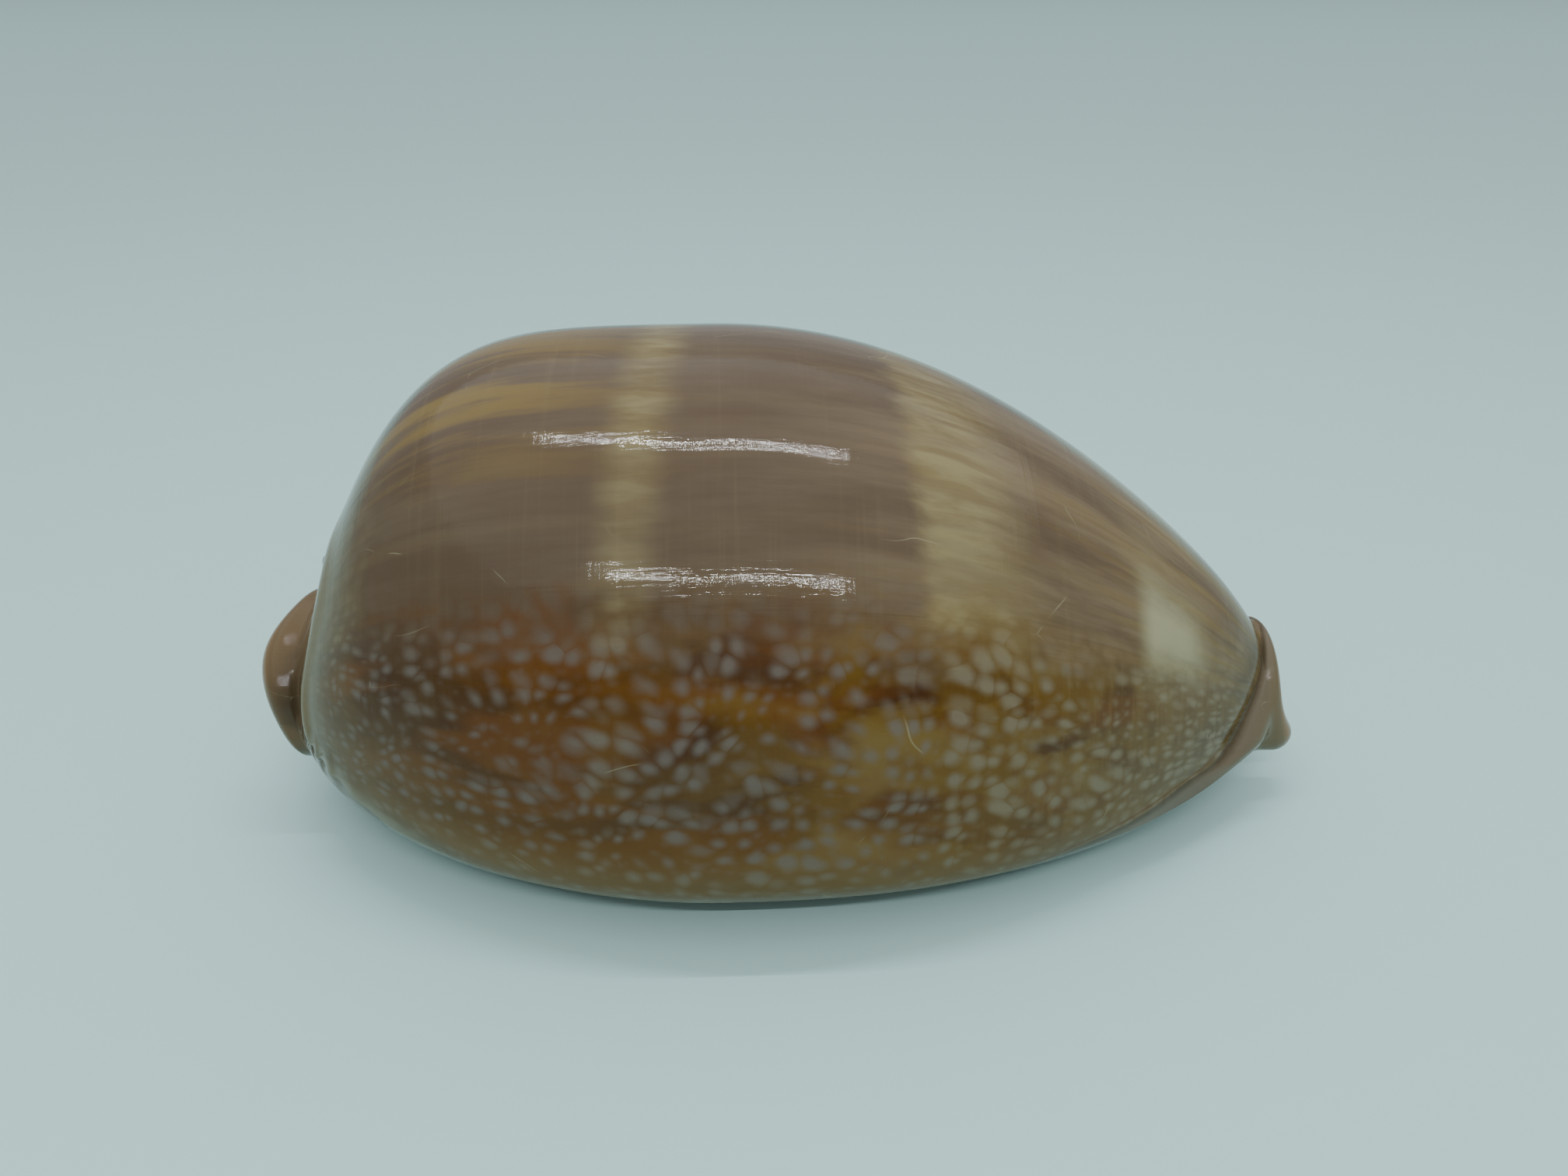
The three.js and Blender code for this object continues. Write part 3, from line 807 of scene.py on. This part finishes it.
    def make(self) -> bpy.types.Material:
        """Build the node material.

        Returns:
            The material, which reads the mesh's own attributes.
        """
        b = NodeBench("enamel")
        place = Place.read(b, self.girth)
        shader = b.add("ShaderNodeBsdfPrincipled")
        b.feed(shader.inputs["Base Color"], self.colour(b, place))
        worn = self.drawn_out(b, place, 0.3, 0.9, 11.0, 3.0)
        worn = b.ease(worn, 0.35, 0.75, self.gloss, self.gloss + self.wear)
        b.feed(shader.inputs["Roughness"], worn)
        b.feed(shader.inputs["Specular IOR Level"], self.specular)
        b.feed(shader.inputs["Subsurface Weight"], self.glow)
        b.feed(shader.inputs["Subsurface Radius"], self.glow_reach)
        b.feed(shader.inputs["Subsurface Scale"], 1.0)
        growth = b.math("ADD", self.drawn_out(b, place, 0.9, 0.03, 12.0),
                        self.drawn_out(b, place, 0.05, 0.8, 13.0))
        bump = b.add("ShaderNodeBump")
        b.feed(bump.inputs["Height"], growth)
        b.feed(bump.inputs["Strength"], self.line_strength)
        b.feed(bump.inputs["Distance"], self.line_depth)
        b.feed(shader.inputs["Normal"], bump.outputs[0])
        out = b.add("ShaderNodeOutputMaterial")
        b.feed(out.inputs["Surface"], shader.outputs[0])
        return b.material


@dataclass(frozen=True)
class Place:
    """Where on the shell a point lies, as sockets."""

    angle: bpy.types.NodeSocket
    low: bpy.types.NodeSocket
    x: bpy.types.NodeSocket
    way: bpy.types.NodeSocket
    turn: bpy.types.NodeSocket
    run: bpy.types.NodeSocket
    beyond: bpy.types.NodeSocket
    across: bpy.types.NodeSocket

    @classmethod
    def read(cls, b: NodeBench, girth: float) -> "Place":
        """Read the mesh's attributes.

        Args:
            b: the bench the nodes are laid on.
            girth: length once round the shell at its widest, in millimetres.

        Returns:
            The place.
        """
        angle = b.attribute("angle")
        low = b.math("ABSOLUTE", b.math("SUBTRACT", angle, 0.5))
        return cls(angle, low, b.attribute("along"), b.attribute("way"), b.math("MULTIPLY", angle, girth),
                   b.attribute("run"), b.attribute("beyond"), b.attribute("across"))


@dataclass(frozen=True)
class Lamp:
    """One rectangular light: its place, the point it faces, its size (all in metres) and its watts."""

    name: str
    place: tuple[float, float, float]
    aim: tuple[float, float, float]
    size: tuple[float, float]
    watts: float

    def hang(self, colour: Rgb) -> None:
        """Hang the lamp.

        Args:
            colour: its light's colour.
        """
        light = bpy.data.lights.new(self.name, "AREA")
        light.shape = "RECTANGLE"
        light.size, light.size_y = self.size
        light.energy = self.watts
        light.color = colour
        lamp = bpy.data.objects.new(self.name, light)
        bpy.context.scene.collection.objects.link(lamp)
        lamp.location = self.place
        way = Vector(self.aim) - Vector(self.place)
        lamp.rotation_euler = way.to_track_quat("-Z", "Y").to_euler()


@dataclass(frozen=True)
class Studio:
    """Pale floor, soft light and the camera at the photo's angle."""

    lamps: tuple[Lamp, ...] = (
        Lamp("over", (0.0, 0.0, 1.6), (0.0, 0.0, 0.02), (4.5, 4.5), 39.0),
        Lamp("strip_high", (0.0, 0.025, 0.42), (0.0, 0.0, 0.03), (0.30, 0.0018), 0.65),
        Lamp("strip_low", (0.0, -0.30, 0.30), (0.0, 0.0, 0.03), (0.30, 0.0018), 0.60),
    )
    lamp_colour: Rgb = (0.97, 0.99, 1.0)
    room_colour: tuple[float, float, float, float] = (0.95, 0.98, 1.0, 1.0)
    room_strength: float = 0.46
    floor_size: float = 6.0
    floor_colour: Rgb = (0.46, 0.70, 0.69)
    eye: tuple[float, float, float] = (-0.0049, -0.1239, 0.0857)
    pitch: float = 27.28
    yaw: float = -2.05
    focal_px: float = 1640.0
    frame_px: float = 2016.0

    def floor(self) -> None:
        """Lay the floor."""
        bm = bmesh.new()
        bmesh.ops.create_grid(bm, x_segments=1, y_segments=1, size=self.floor_size / 2)
        mesh = bpy.data.meshes.new("floor")
        bm.to_mesh(mesh)
        bm.free()
        floor = bpy.data.objects.new("floor", mesh)
        bpy.context.scene.collection.objects.link(floor)
        b = NodeBench("floor")
        shader = b.add("ShaderNodeBsdfPrincipled")
        grain = b.noise(b.object_point(), 220.0, 3.0)
        b.feed(shader.inputs["Base Color"], b.mix(grain, self.floor_colour,
                                                  tuple(c * 0.985 for c in self.floor_colour)))
        b.feed(shader.inputs["Roughness"], 0.55)
        out = b.add("ShaderNodeOutputMaterial")
        b.feed(out.inputs["Surface"], shader.outputs[0])
        mesh.materials.append(b.material)

    def light(self) -> None:
        """Hang the lights and set the room's own light."""
        world = bpy.data.worlds.new("room")
        world.use_nodes = True
        background = world.node_tree.nodes["Background"]
        background.inputs["Color"].default_value = self.room_colour
        background.inputs["Strength"].default_value = self.room_strength
        bpy.context.scene.world = world
        for lamp in self.lamps:
            lamp.hang(self.lamp_colour)

    def camera(self) -> None:
        """Set the camera where the photo was taken from."""
        data = bpy.data.cameras.new("camera")
        data.sensor_width = 36.0
        data.lens = self.focal_px / self.frame_px * data.sensor_width
        data.clip_start, data.clip_end = 0.005, 20.0
        camera = bpy.data.objects.new("camera", data)
        bpy.context.scene.collection.objects.link(camera)
        turn = Matrix.Rotation(math.radians(self.yaw), 4, "Z")
        tilt = Matrix.Rotation(math.radians(90.0 - self.pitch), 4, "X")
        camera.matrix_world = Matrix.Translation(self.eye) @ turn @ tilt
        bpy.context.scene.camera = camera

    def build(self) -> None:
        """Set up floor, light and camera."""
        self.floor()
        self.light()
        self.camera()


def main() -> None:
    """Build the shell and its setting in order."""
    logging.basicConfig(level=logging.INFO, format="%(name)s: %(message)s")
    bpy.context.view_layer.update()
    shell = CowrieShell().build()
    shell.data.materials.append(Enamel().make())
    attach(shell, "root")
    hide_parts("shell")
    LOG.info("shell wall: %d faces", len(shell.data.polygons))
    Studio().build()
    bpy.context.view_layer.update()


if __name__ == "__main__":
    main()
